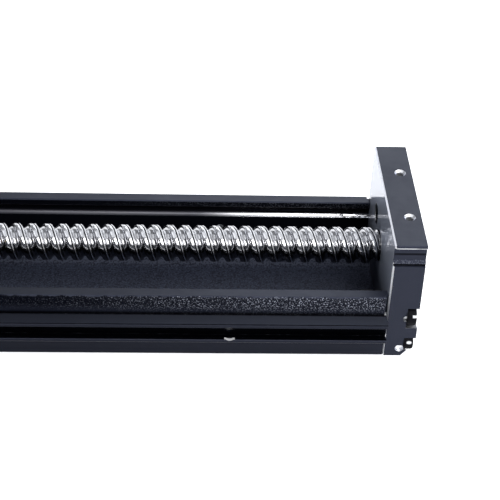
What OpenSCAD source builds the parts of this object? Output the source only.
// Ball screw linear module: channel body with embedded raceways, rolled two-start
// ball screw, recirculating nut and carriage, fixed drive end and floating tail end.
// X runs along the screw (tail end at +X, drive end at -X), front is -Y, Z is up;
// the origin is at the centre of the underside of the channel.

/* [Channel body] */
// Length of the channel extrusion
body_len = 203; // [203:1:260]
// Width over the two side walls (and over the end blocks)
body_w = 57.5; // [57:0.5:60]
// Height of the side walls
wall_h = 23.5; // [23:0.5:24]
// Thickness of a side wall at its top
wall_t = 4.25; // [4:0.05:4.5]
// Thickness of the floor under the nut
floor_t = 5.5; // [5:0.1:6]
// How far a side rib stands out of the wall
rib_w = 5; // [4.5:0.1:6]

/* [Ball screw] */
// Outside diameter of the screw thread
screw_d = 12; // [12:0.1:12.2]
// Lead of the two-start thread
lead = 10; // [10:1:10]
// Height of the screw axis over the underside
axis_z = 23.5; // [23.5:0.5:24]
// Radius of the ball groove in the screw
groove_r = 1.32; // [1.3:0.01:1.35]
// Radius of the circle the nut balls run on
ball_pitch_r = 5.9; // [5.85:0.01:5.95]

/* [End blocks] */
// Height of both end blocks
block_h = 44; // [43:0.5:45]
// Thickness of the tail end plate
tail_t = 10.5; // [10.5:0.5:12]
// Thickness of the drive end housing
drive_t = 25; // [25:1:25]
// Spacing of the cover screw holes in the top of the end blocks
cover_hole_span = 25.5; // [24:0.5:28]

/* [Carriage] */
// Length of the slide block
slide_len = 48; // [48:1:48]
// Gap between the drive housing and the carriage at rest
rest_gap = 9; // [9:0.5:12]
// Height of the table face over the underside
table_z = 51; // [50:0.5:54]
// Spacing of the table's threaded holes, along and across
table_hole = 30; // [28:1:32]

/* [Hidden] */

over = 1;                        // how far most cutters run past a face
half_w = body_w/2;
wall_in_y = half_w - wall_t;     // inner face of a wall
tail_x = body_len/2;             // inner face of the tail plate
drive_x = -tail_x;               // inner face of the drive housing
tail_out_x = tail_x + tail_t;    // outer faces of the two end blocks
drive_out_x = drive_x - drive_t;
tail_seat_x = tail_out_x - 6;    // shoulder of the tail bearing seat
web_x = drive_x - 5.5;           // face of the web the drive bearings sit against

// Guide raceways and their inserts
race_z = 19.3;
race_r = 2.05;
race_y = wall_in_y - 0.9;
insert_h = 4.2;
insert_t = 2.6;

// Screws holding the end blocks; upper and lower screw in each list
end_screw_y = half_w - 1.85;
end_screw_z = [15.25, 4.8];
tail_bore_r = [4.3, 3.0];
tail_head_r = [3.4, 2.75];

// Carriage at rest
cap_t = 6.5;                     // return cap
seal_t = 1.5;                    // end seal
slide_x0 = drive_x + rest_gap + cap_t + seal_t;
slide_x1 = slide_x0 + slide_len;
block_y = wall_in_y - 1.8;       // half width of the slide block inside the channel
slide_y = half_w - 0.75;         // half width of the slide block and table above the walls

steel = [0.72, 0.72, 0.74];
bright = [0.82, 0.82, 0.84];
black = [0.11, 0.12, 0.14];
dark_grey = [0.2, 0.2, 0.22];
rubber = [0.06, 0.06, 0.06];
brass = [0.78, 0.6, 0.3];
dark_green = [0.1, 0.22, 0.14];

// ---------- shared shapes ----------
module along_x(start, end)
  translate([start, 0, 0]) rotate([90, 0, 90]) linear_extrude(end - start) children();

// cylinder along X; at is its [y, z], the screw axis unless given
module rod(start, end, radius, at = [0, axis_z], fn = 64)
  translate([start, at[0], at[1]]) rotate([0, 90, 0])
    cylinder(r = radius, h = end - start, $fn = fn);

// tube on the screw axis
module ring(start, end, outer_r, inner_r, fn = 64) difference() {
  rod(start, end, outer_r, fn = fn);
  rod(start - over, end + over, inner_r, fn = fn);
}

module both_sides() {
  children();
  mirror([0, 1, 0]) children();
}

// turns children about the screw axis at x
module about_axis(x, angle) translate([x, 0, axis_z]) rotate([angle, 0, 0]) children();

// the left (-Y) half of an outline, from the last point of its right half back to the first
function left_half(half) = [for (i = [len(half) - 1:-1:0]) [-half[i][0], half[i][1]]];
function mirrored(half) = concat(half, left_half(half));

// socket head cap screw seated at the origin; facing 1 puts the head at +X, -1 at -X
module cap_screw(size, length, facing = 1, head_r = 0)
  rotate([0, facing > 0 ? 0 : 180, 0]) difference() {
    union() {
      rotate([0, 90, 0]) cylinder(r = head_r > 0 ? head_r : size*0.9, h = size, $fn = 40);
      rotate([0, -90, 0]) cylinder(r = size/2, h = length, $fn = 32);
    }
    translate([size*0.55, 0, 0]) rotate([0, 90, 0]) cylinder(r = size*0.48, h = size, $fn = 6);
  }

// ---------- channel ----------
side_floor = floor_t + 1.2;      // raised floor beside the nut recess
recess_y = 12;
rib_y = half_w + rib_w;
rib_z0 = 8.6;
rib_z1 = 16.1;
slot_z = 12.2;
slot_mouth_h = 4.6;
slot_inner_h = 5.6;
slot_d = 3.5;
lip_t = 1.2;
relief = 0.8;                    // outer half of a wall end stands back from the end block
thread_depth = 13;               // end block screw holes
side_hole_x = 48.2;              // side holes in the slots, before their shift towards the tail
side_hole_shift = 2.5;
floor_hole_x = 70;
floor_hole_y = 17;

module channel_section() {
  lip_y = rib_y - lip_t;
  slot_y = rib_y - slot_d;
  groove_y = wall_in_y + insert_t;
  mouth = slot_mouth_h/2;
  inner = slot_inner_h/2;
  insert = insert_h/2;
  // [y, z] of the right half, from the underside round the rib and over the wall to the floor
  polygon(mirrored([
    [half_w - 0.4, 0], [half_w, 0.4],
    [half_w, rib_z0], [rib_y - 0.3, rib_z0], [rib_y, rib_z0 + 0.3],
    [rib_y, slot_z - mouth - 0.2], [rib_y - 0.2, slot_z - mouth],
    [lip_y, slot_z - mouth], [lip_y, slot_z - inner],
    [slot_y, slot_z - inner], [slot_y, slot_z + inner],
    [lip_y, slot_z + inner], [lip_y, slot_z + mouth],
    [rib_y - 0.2, slot_z + mouth], [rib_y, slot_z + mouth + 0.2],
    [rib_y, rib_z1 - 0.3], [rib_y - 0.3, rib_z1], [half_w, rib_z1],
    [half_w, wall_h - 0.35], [half_w - 0.35, wall_h],
    [wall_in_y + 0.35, wall_h], [wall_in_y, wall_h - 0.35],
    [wall_in_y, race_z + insert], [groove_y, race_z + insert],
    [groove_y, race_z - insert], [wall_in_y, race_z - insert],
    [wall_in_y, side_floor + 0.8], [wall_in_y - 0.8, side_floor],
    [recess_y + 0.5, side_floor], [recess_y - 0.7, floor_t]]));
}

module channel_body() color(black) difference() {
  along_x(drive_x, tail_x) channel_section();
  both_sides() {
    // wall ends stand back from the end blocks
    for (x = [tail_x - relief, drive_x - over])
      translate([x, wall_in_y + insert_t + 0.2, rib_z1]) cube([relief + over, wall_t, 20]);
    // threaded holes for the end block screws
    for (z = end_screw_z, x = [tail_x - thread_depth, drive_x - over])
      rod(x, x + thread_depth + over, 1.55, [end_screw_y, z], 32);
    // side holes inside the slots, widened through the lips
    for (x = [-side_hole_x, side_hole_x]) {
      translate([x + side_hole_shift, rib_y + over, slot_z]) rotate([90, 0, 0])
        cylinder(r = 2.6, h = over + slot_d, $fn = 48);
      translate([x + side_hole_shift, rib_y, slot_z]) rotate([90, 0, 0])
        cylinder(r = 1.65, h = rib_w + wall_t + over, $fn = 40);
    }
    // counterbored mounting holes through the floor
    for (x = [-floor_hole_x, floor_hole_x]) {
      translate([x, floor_hole_y, -over]) cylinder(r = 2.25, h = 20, $fn = 48);
      translate([x, floor_hole_y, side_floor - 4.2]) cylinder(r = 4, h = 10, $fn = 48);
    }
  }
}

module rail_insert() along_x(drive_x, tail_x) difference() {
  translate([wall_in_y, race_z - insert_h/2 + 0.02]) square([insert_t - 0.02, insert_h - 0.04]);
  translate([race_y, race_z]) circle(r = race_r, $fn = 64);
}
module rail_insert_front() color(bright) mirror([0, 1, 0]) rail_insert();
module rail_insert_rear() color(bright) rail_insert();

// ---------- end blocks ----------
chamfer_cut = 0.5*1.4142;        // side of the square cutter for a 0.5 chamfer
tail_screw_x = tail_x + 6.7;     // floor of the tail screw counterbores
drive_bore_d = 3.4;              // depth of the drive screw counterbores
port_at = [11, 28.6];            // [y, z] of the port in the tail plate
bumper_len = 7.5;

// [y, z] of the bearing cover screws
cover_circle_r = 15.2;
cover_screw_at = [for (a = [45:90:315])
  [cover_circle_r*cos(a), axis_z + cover_circle_r*sin(a)]];

// [x from the plate's inner face, z, radius] of the spot faces in the tail plate's sides
spot_faces = [[6.6, 15.0, 1.15], [5.35, 3.0, 1.35]];

// [y, z] of the right half, with a small groove and a shallow recess near the top
module block_section() polygon(mirrored([
  [half_w, 0], [half_w, block_h - 8.1],
  [half_w - 0.45, block_h - 7.9], [half_w - 0.45, block_h - 7.1],
  [half_w - 0.1, block_h - 7.0], [half_w - 0.9, block_h - 5.9],
  [half_w - 0.9, block_h - 1.15], [half_w, block_h - 1.15],
  [half_w, block_h - 0.3], [half_w - 0.3, block_h]]));

// block with its top and side edges chamfered at face_x, the face that meets the channel
module end_block(start, end, face_x) difference() {
  along_x(start, end) block_section();
  translate([face_x, 0, block_h]) rotate([0, 45, 0])
    cube([chamfer_cut, body_w + 2, chamfer_cut], center = true);
  both_sides() translate([face_x, half_w, block_h/2]) rotate([0, 0, 45])
    cube([chamfer_cut, chamfer_cut, block_h + 2], center = true);
}

// two countersunk cover screw holes in the top
module cover_holes(x) for (y = [-cover_hole_span/2, cover_hole_span/2])
  translate([x, y, block_h]) {
    translate([0, 0, -9]) cylinder(r = 1.25, h = 10, $fn = 40);
    translate([0, 0, -0.65]) cylinder(r1 = 1.25, r2 = 1.95, h = 0.7, $fn = 40);
    translate([0, 0, 0.04]) cylinder(r = 1.95, h = 1, $fn = 40);
  }

module tail_plate() color(black) difference() {
  end_block(tail_x, tail_out_x, tail_x);
  // bearing seat from the outside, shaft hole through the web
  rod(tail_seat_x, tail_out_x + over, 8, fn = 96);
  rod(tail_x - over, tail_out_x, 5.2);
  // port in the inner face
  rod(tail_x - over, tail_x + 8, 3.5, port_at, 48);
  cover_holes(tail_x + 6.65);
  both_sides() {
    for (i = [0, 1]) {
      rod(tail_x - over, tail_x + 8, 1.65, [end_screw_y, end_screw_z[i]], 32);
      rod(tail_screw_x, tail_out_x + over, tail_bore_r[i], [end_screw_y, end_screw_z[i]], 64);
    }
    for (spot = spot_faces)
      translate([tail_x + spot[0], half_w - 0.8, spot[1]]) rotate([-90, 0, 0])
        cylinder(r = spot[2], h = 2, $fn = 40);
  }
  // the outer bottom edge is cut back
  translate([tail_x, half_w + over, 0]) rotate([90, 0, 0]) linear_extrude(body_w + 2)
    polygon([[5.9, -1], [6, 0], [8, 2.45], [tail_t + over, 2.45], [tail_t + over, -1]]);
}

module drive_housing() color(black) difference() {
  end_block(drive_out_x, drive_x, drive_x);
  // bearing bore, shaft hole through the web, seal seat in the inner face
  rod(drive_out_x - over, web_x, 13, fn = 96);
  rod(drive_x - 6, drive_x + over, 7.8);
  rod(drive_x - 4, drive_x + over, 9.4);
  cover_holes(drive_x - 10);
  both_sides() for (z = end_screw_z) {
    rod(drive_out_x - over, drive_x + over, 1.65, [end_screw_y, z], 32);
    rod(drive_out_x - over, drive_out_x + drive_bore_d, 3.1, [end_screw_y, z], 48);
  }
  // threaded holes: bearing cover and motor bracket
  for (at = cover_screw_at) rod(drive_out_x - over, drive_out_x + 8, 1.3, at, 32);
  for (y = [-22.5, 22.5], z = [-15, 15])
    rod(drive_out_x - over, drive_out_x + 10, 1.65, [y, axis_z + z], 40);
}

module tail_plate_screws() color(steel) both_sides() for (i = [0, 1])
  translate([tail_screw_x + 0.05, end_screw_y, end_screw_z[i]])
    cap_screw(3, 16, head_r = tail_head_r[i]);
module drive_housing_screws() color(steel) both_sides() for (z = end_screw_z)
  translate([drive_out_x + drive_bore_d - 0.05, end_screw_y, z]) cap_screw(3, 33, -1);

// flange outside the housing with a spigot in the bearing bore
module bearing_cover() color(dark_grey) difference() {
  union() {
    rod(drive_out_x - 4.5, drive_out_x, 18, fn = 96);
    rod(drive_out_x - over, drive_out_x + 3.48, 12.9, fn = 96);
  }
  rod(drive_out_x - 10, drive_x, 7.6);
  for (at = cover_screw_at) {
    rod(drive_out_x - 10, drive_x, 1.4, at, 32);
    rod(drive_out_x - 10, drive_out_x - 1.9, 2.4, at, 32);
  }
}
module bearing_cover_screws() color(steel) for (at = cover_screw_at)
  translate([drive_out_x - 1.95, at[0], at[1]]) cap_screw(2.4, 8.5, -1);

module shaft_seal() color(rubber) ring(drive_x - 3.9, drive_x - 1.4, 9.38, 7.06);

module bumpers(start) both_sides() rod(start, start + bumper_len, 3.6, [17, 13.5], 40);
module tail_bumpers() color(rubber) bumpers(tail_x - bumper_len);
module drive_bumpers() color(rubber) bumpers(drive_x);

// ---------- bearings ----------
drive_bearing_w = 8;
drive_circle_r = 9;              // circle of the ball centres
drive_ball_r = 2.35;
drive_ball_n = 10;
bearing_a_x = web_x - drive_bearing_w;         // outer end of each drive bearing
bearing_b_x = bearing_a_x - drive_bearing_w;
tail_bearing_w = 5;
tail_circle_r = 6;
tail_ball_r = 1.2;
tail_ball_n = 9;

// ring with a ball groove round its middle
module bearing_ring(start, width, outer_r, inner_r, circle_r, ball_r) difference() {
  ring(start, start + width, outer_r, inner_r, fn = 96);
  translate([start + width/2, 0, axis_z]) rotate([0, 90, 0]) rotate_extrude($fn = 64)
    translate([circle_r, 0]) circle(r = ball_r + 0.06, $fn = 32);
}
module bearing_balls(x, circle_r, ball_r, count) for (i = [0:count - 1])
  about_axis(x, i*360/count) translate([0, 0, circle_r]) sphere(r = ball_r, $fn = 32);
// band with radial pockets; each pocket starts just inside the bore of the band
module bearing_cage(x, ball_r, count, width, outer_r, inner_r) difference() {
  pocket_r = ball_r + 0.08;
  ring(x - width/2, x + width/2, outer_r, inner_r, fn = 96);
  for (i = [0:count - 1])
    about_axis(x, i*360/count)
      translate([0, 0, sqrt(inner_r*inner_r - pow(pocket_r, 2)) - 0.03])
        cylinder(r = pocket_r, h = 3, $fn = 40);
}

module drive_ring(start, outer_r, inner_r) color(steel)
  bearing_ring(start, drive_bearing_w, outer_r, inner_r, drive_circle_r, drive_ball_r);
module drive_balls(start) color(bright)
  bearing_balls(start + drive_bearing_w/2, drive_circle_r, drive_ball_r, drive_ball_n);
module drive_cage(start) color(brass)
  bearing_cage(start + drive_bearing_w/2, drive_ball_r, drive_ball_n, 6.4, 9.7, 8.4);
module tail_ring(outer_r, inner_r) color(steel)
  bearing_ring(tail_seat_x, tail_bearing_w, outer_r, inner_r, tail_circle_r, tail_ball_r);

module drive_bearing_a_outer_ring() drive_ring(bearing_a_x, 12.98, 10.6);
module drive_bearing_b_outer_ring() drive_ring(bearing_b_x, 12.98, 10.6);
module drive_bearing_a_inner_ring() drive_ring(bearing_a_x, 7.4, 5.01);
module drive_bearing_b_inner_ring() drive_ring(bearing_b_x, 7.4, 5.01);
module drive_bearing_a_balls() drive_balls(bearing_a_x);
module drive_bearing_b_balls() drive_balls(bearing_b_x);
module drive_bearing_a_cage() drive_cage(bearing_a_x);
module drive_bearing_b_cage() drive_cage(bearing_b_x);

module tail_bearing_outer_ring() tail_ring(7.98, 6.85);
module tail_bearing_inner_ring() tail_ring(5.15, 4.01);
module tail_bearing_balls() color(bright)
  bearing_balls(tail_seat_x + tail_bearing_w/2, tail_circle_r, tail_ball_r, tail_ball_n);
module tail_bearing_cage() color(brass)
  bearing_cage(tail_seat_x + tail_bearing_w/2, tail_ball_r, tail_ball_n, 3.3, 6.35, 5.65);
module tail_bearing_shields() color(steel) for (x = [0.15, 4.6])
  ring(tail_seat_x + x, tail_seat_x + x + 0.25, 6.84, 5.3);

// open ring with two eyed lugs at the top
module tail_circlip() color(dark_grey) difference() {
  clip_x = tail_seat_x + 5.05;
  clip_t = 0.7;
  union() {
    ring(clip_x, clip_x + clip_t, 5.2, 3.72);
    translate([clip_x, -1.6, axis_z + 3.78]) cube([clip_t, 3.2, 2.0]);
  }
  translate([tail_seat_x + 4, -0.5, axis_z]) cube([3, 1, 9]);
  for (y = [-1.05, 1.05]) rod(tail_seat_x + 4, tail_seat_x + 7, 0.4, [y, axis_z + 5.0], 20);
}

// ---------- ball screw ----------
lead_angle = atan(lead/(2*PI*ball_pitch_r));
thread_phase = 0.58;             // x of a groove centre at the top, modulo half the lead
thread_x0 = drive_x - 1.5;
thread_x1 = tail_x - 0.4;
journal_bore_r = 5.01;           // bore of the parts on the drive journal
lock_nut_x0 = drive_out_x - 13;
lock_nut_x1 = drive_out_x - 5;
lock_nut_mid = (lock_nut_x0 + lock_nut_x1)/2;
set_screw_angles = [45, 165];

// turn of the thread over an axial distance
function deg(x) = 360*x/lead;
// axial half width of a groove at the rim radius
function half_width(groove, rim_r) =
  sqrt(groove*groove - pow(ball_pitch_r - rim_r, 2))/cos(lead_angle);

// section across the axis: two grooves half a turn apart, joined by arcs at the rim;
// outward -1 cuts the grooves into the screw, 1 into the nut
module thread_section(groove, rim_r, outward, groove_steps, rim_steps) {
  half_x = half_width(groove, rim_r);
  half_turn = deg(half_x);
  polygon([for (k = [0:1]) each concat(
    [for (i = [0:groove_steps])
      let (
        x = half_x*sin(-90 + 180*i/groove_steps),
        across = x*cos(lead_angle),
        a = 90 + 180*k + deg(x),
        r = i == 0 || i == groove_steps
          ? rim_r
          : ball_pitch_r + outward*sqrt(max(0, groove*groove - across*across))
      ) [r*cos(a), r*sin(a)]],
    [for (j = [1:rim_steps - 1])
      let (a = 90 + 180*k + half_turn + (180 - 2*half_turn)*j/rim_steps)
        [rim_r*cos(a), rim_r*sin(a)]])]);
}

// sweeps a section along the right-hand two-start helix between two planes
module helix(start, end, slices_per_turn)
  translate([start, 0, axis_z]) rotate([0, 90, 0])
    linear_extrude(height = end - start, twist = -deg(end - start),
        slices = ceil((end - start)/lead*slices_per_turn))
      rotate(90 + deg(start - thread_phase)) children();

module screw_shaft() color(bright) difference() {
  union() {
    helix(thread_x0, thread_x1, 10) thread_section(groove_r, screw_d/2, -1, 5, 2);
    // tail journal, drive journal, drive stub and its tapered end
    rod(thread_x1 - 0.5, tail_seat_x + 5.95, 4);
    rod(lock_nut_x0, thread_x0 + 0.5, 4.99);
    rod(drive_out_x - 29.4, drive_out_x - 12, 4);
    translate([drive_out_x - 30, 0, axis_z]) rotate([0, 90, 0])
      cylinder(r1 = 3.4, r2 = 4, h = 0.61, $fn = 64);
  }
  // circlip groove
  ring(tail_seat_x + 5.02, tail_seat_x + 5.8, 5, 3.7);
}

module seal_collar() color(steel) ring(web_x, thread_x0, 7, journal_bore_r);
module clamp_collar() color(steel) ring(lock_nut_x1, bearing_b_x, 7.2, journal_bore_r);

module lock_nut() color(dark_grey) difference() {
  ring(lock_nut_x0, lock_nut_x1, 10, journal_bore_r, fn = 96);
  for (a = [0:90:270])
    about_axis(lock_nut_mid, a) translate([0, 0, 10]) cube([10, 3, 3], center = true);
  for (a = set_screw_angles) about_axis(lock_nut_mid, a) cylinder(r = 1.55, h = 12, $fn = 32);
}
module lock_nut_set_screws() color(dark_grey) for (a = set_screw_angles)
  about_axis(lock_nut_mid, a) difference() {
    translate([0, 0, 5.1]) cylinder(r = 1.5, h = 4.2, $fn = 32);
    translate([0, 0, 8]) cylinder(r = 0.85, h = 3, $fn = 6);
  }

// ---------- nut ----------
nut_x0 = slide_x0;
nut_x1 = nut_x0 + 38;            // end of the nut body inside the slide block
flange_x = nut_x0 - 5;           // outer face of the flange
nut_bore_r = 6.45;
wiper_seat_r = 8.5;
plug_x = [nut_x0 + 4.2, nut_x0 + 32.6];
nut_screw_at = [for (s = [-1, 1], t = [-1, 1]) [5.9*s, axis_z + 12.6*t]];   // [y, z]
nut_ball_n = 29;                 // balls in each start
nut_ball_step = 0.655;           // along X
nut_ball_x0 = nut_x0 + 9.2;

module ball_nut() color(steel) difference() {
  union() {
    rod(nut_x0 - 0.1, nut_x1, 12, fn = 96);
    // round flange with flat sides
    intersection() {
      rod(flange_x, nut_x0, 16.3, fn = 96);
      translate([nut_x0 - 6, -12.3, 0]) cube([10, 24.6, 60]);
    }
  }
  // plain bore at both ends, wiper seats, threaded middle
  rod(flange_x - over, nut_x0 + 6.6, nut_bore_r);
  rod(nut_x0 + 30.4, nut_x1 + over, nut_bore_r);
  rod(flange_x - over, nut_x0 - 3, wiper_seat_r);
  rod(nut_x1 - 2, nut_x1 + over, wiper_seat_r);
  helix(nut_x0 + 6.5, nut_x0 + 30.5, 24) thread_section(1.42, 6.38, 1, 8, 4);
  for (at = nut_screw_at) rod(flange_x - over, nut_x0 + over, 1.35, at, 32);
  for (x = plug_x) translate([x, 0, axis_z + 5]) cylinder(r = 2.5, h = 9, $fn = 40);
}
module nut_wipers() color(rubber) for (x = [flange_x + 0.05, nut_x1 - 1.98])
  ring(x, x + 1.93, wiper_seat_r - 0.02, 6.1);
// upright plugs, hollowed round the screw and rounded flush with the nut
module nut_return_plugs() color(dark_grey) for (x = plug_x)
  translate([x, 0, axis_z]) intersection() {
    difference() {
      translate([0, 0, 6.6]) cylinder(r = 2.48, h = 9, $fn = 40);
      rotate([0, 90, 0]) cylinder(r = 6.5, h = 20, center = true, $fn = 64);
    }
    rotate([0, 90, 0]) cylinder(r = 11.98, h = 20, center = true, $fn = 96);
  }
module nut_balls() color(bright) for (k = [0, 1], i = [0:nut_ball_n - 1])
  let (x = nut_ball_x0 + i*nut_ball_step, a = deg(x - thread_phase) + 90 + 180*k)
    translate([x, ball_pitch_r*cos(a), axis_z + ball_pitch_r*sin(a)]) sphere(r = 1.2, $fn = 24);
module nut_screws() color(steel) for (at = nut_screw_at)
  translate([flange_x - 0.02, at[0], at[1]]) cap_screw(2.5, 12, -1);

// ---------- carriage ----------
slide_z0 = 8;                    // underside of the slide block
seat_z = 38;                     // top of the slide block, where the table sits
up_z = wall_h + 1.3;             // the block widens above the walls
turn_r = 3;                      // ball return turn
return_y = race_y - 2*turn_r;    // ball return bore
turn_y = race_y - turn_r;
table_screw_x = [slide_x0 + 7, slide_x1 - 7];
table_screw_y = 24.7;
cap_screw_at = [for (z = [11.4, 24.9]) [16.2, z]];   // [y, z] of the return cap screws
nipple_at = [-19.5, 33];                             // [y, z]
cap_in_y = 13.4;                 // inner side, underside and top of return caps and end seals
cap_z0 = 8.3;
cap_z1 = 27;

module slide_section() {
  half = [[block_y - 1, slide_z0], [block_y, slide_z0 + 1], [block_y, up_z],
    [slide_y - 0.5, up_z], [slide_y, up_z + 0.5], [slide_y, seat_z]];
  polygon(concat([[0, slide_z0]], half, [[0, seat_z]], left_half(half)));
}
module slide_block() color(black) difference() {
  along_x(slide_x0, slide_x1) slide_section();
  rod(slide_x0 - over, slide_x1 + over, 12.02, fn = 96);
  both_sides() {
    rod(slide_x0 - over, slide_x1 + over, race_r, [race_y, race_z], 64);
    rod(slide_x0 - over, slide_x1 + over, 2.15, [return_y, race_z], 48);
    for (x = [slide_x0 - over, slide_x1 - 8], at = cap_screw_at) rod(x, x + 9, 1.3, at, 28);
    for (x = table_screw_x)
      translate([x, table_screw_y, 27]) cylinder(r = 2.05, h = 20, $fn = 40);
  }
  for (at = nut_screw_at) rod(slide_x0 - over, slide_x0 + 8, 1.3, at, 32);
  rod(slide_x1 - 6, slide_x1 + over, 2.05, nipple_at, 32);
}

// plate on two legs
module table_section() polygon(mirrored([
  [21.6, table_z - 5.2], [21.6, seat_z], [slide_y, seat_z],
  [slide_y, table_z - 0.5], [slide_y - 0.5, table_z]]));
module carriage_table() color(black) difference() {
  along_x(slide_x0, slide_x1) table_section();
  both_sides() for (x = table_screw_x) {
    translate([x, table_screw_y, 30]) cylinder(r = 2.15, h = 40, $fn = 40);
    translate([x, table_screw_y, table_z - 4.4]) cylinder(r = 3.75, h = 10, $fn = 48);
  }
  for (x = [-table_hole/2, table_hole/2], y = [-table_hole/2, table_hole/2])
    translate([(slide_x0 + slide_x1)/2 + x, y, 30]) cylinder(r = 1.65, h = 40, $fn = 40);
}
module table_screws() color(steel) both_sides() for (x = table_screw_x)
  translate([x, table_screw_y, table_z - 4.35]) rotate([0, -90, 0]) cap_screw(4, 17);

// ball return cap on one side: half a torus joins the loaded row to the return bore
// facing is 1 at the tail end, -1 at the drive end
module return_cap(facing) {
  start = facing > 0 ? slide_x1 : slide_x0 - cap_t;
  bore_x = facing > 0 ? start + cap_t - 1.3 : start - over;
  difference() {
    along_x(start, start + cap_t) polygon([
      [cap_in_y, cap_z0], [block_y - 0.8, cap_z0], [block_y, cap_z0 + 0.8],
      [block_y, cap_z1 - 1], [block_y - 1, cap_z1], [cap_in_y, cap_z1]]);
    translate([facing > 0 ? slide_x1 : slide_x0, turn_y, race_z])
      rotate_extrude($fn = 64) translate([turn_r, 0]) circle(r = 2.12, $fn = 32);
    for (at = cap_screw_at) {
      rod(start - over, start + cap_t + over, 1.35, at, 28);
      rod(bore_x, bore_x + 1.3 + over, 2.4, at, 32);
    }
  }
}
module return_caps_drive_end() color(dark_green) both_sides() return_cap(-1);
module return_caps_tail_end() color(dark_green) both_sides() return_cap(1);

// plate outside a return cap, wider below the wall top, with a round lip in the raceway
module end_seal(start) difference() {
  lip_y = wall_in_y - 0.25;
  along_x(start, start + seal_t) {
    polygon([
      [cap_in_y, cap_z0], [wall_in_y - 1.2, cap_z0], [lip_y, cap_z0 + 0.9],
      [lip_y, wall_h - 0.4], [block_y, wall_h - 0.4],
      [block_y, cap_z1 - 1], [block_y - 1, cap_z1], [cap_in_y, cap_z1]]);
    translate([race_y, race_z]) circle(r = 1.9, $fn = 40);
  }
  for (at = cap_screw_at) rod(start - over, start + 3, 2.4, at, 32);
}
module end_seals_drive_end() color(rubber) both_sides() end_seal(slide_x0 - cap_t - seal_t);
module end_seals_tail_end() color(rubber) both_sides() end_seal(slide_x1 + cap_t);

module return_cap_screws() color(steel) both_sides() for (at = cap_screw_at) {
  translate([slide_x1 + cap_t - 1.25, at[0], at[1]]) cap_screw(2.5, 10);
  translate([slide_x0 - cap_t + 1.25, at[0], at[1]]) cap_screw(2.5, 10, -1);
}

guide_ball_n = 12;               // balls in each straight row
guide_end_gap = 1.7;             // first ball centre from the end of the slide block
guide_step = (slide_len - 2*guide_end_gap)/(guide_ball_n - 1);
module guide_ball(x, y) translate([x, y, race_z]) sphere(r = 1.95, $fn = 24);
// one loop: loaded row, return row and two balls in each turn
module guide_loop() {
  for (i = [0:guide_ball_n - 1], y = [race_y, return_y])
    guide_ball(slide_x0 + guide_end_gap + i*guide_step, y);
  for (a = [48, 132]) {
    guide_ball(slide_x1 + turn_r*sin(a), turn_y + turn_r*cos(a));
    guide_ball(slide_x0 - turn_r*sin(a), turn_y + turn_r*cos(a));
  }
}
module guide_balls_rear() color(bright) guide_loop();
module guide_balls_front() color(bright) mirror([0, 1, 0]) guide_loop();

module grease_nipple() color(brass)
  translate([slide_x1, nipple_at[0], nipple_at[1]]) rotate([0, 90, 0]) difference() {
    union() {
      translate([0, 0, -5]) cylinder(r = 2, h = 5.01, $fn = 32);
      cylinder(r = 3.2, h = 2, $fn = 6);
      translate([0, 0, 1.9]) cylinder(r = 1.6, h = 1.4, $fn = 32);
      translate([0, 0, 4.1]) sphere(r = 1.7, $fn = 32);
    }
    translate([0, 0, 4.9]) cylinder(r = 0.5, h = 3, $fn = 20);
  }

channel_body();
rail_insert_front();
rail_insert_rear();
tail_plate();
tail_plate_screws();
tail_bearing_outer_ring();
tail_bearing_shields();
drive_housing();
drive_housing_screws();
drive_bearing_a_outer_ring();
drive_bearing_b_outer_ring();
bearing_cover();
bearing_cover_screws();
shaft_seal();
tail_bumpers();
drive_bumpers();
screw_shaft();
drive_bearing_a_inner_ring();
drive_bearing_b_inner_ring();
tail_bearing_inner_ring();
tail_circlip();
seal_collar();
clamp_collar();
lock_nut();
lock_nut_set_screws();
drive_bearing_a_balls();
drive_bearing_b_balls();
drive_bearing_a_cage();
drive_bearing_b_cage();
tail_bearing_balls();
tail_bearing_cage();
slide_block();
carriage_table();
table_screws();
ball_nut();
nut_wipers();
nut_balls();
nut_return_plugs();
nut_screws();
return_caps_drive_end();
return_caps_tail_end();
end_seals_drive_end();
end_seals_tail_end();
return_cap_screws();
guide_balls_front();
guide_balls_rear();
grease_nipple();
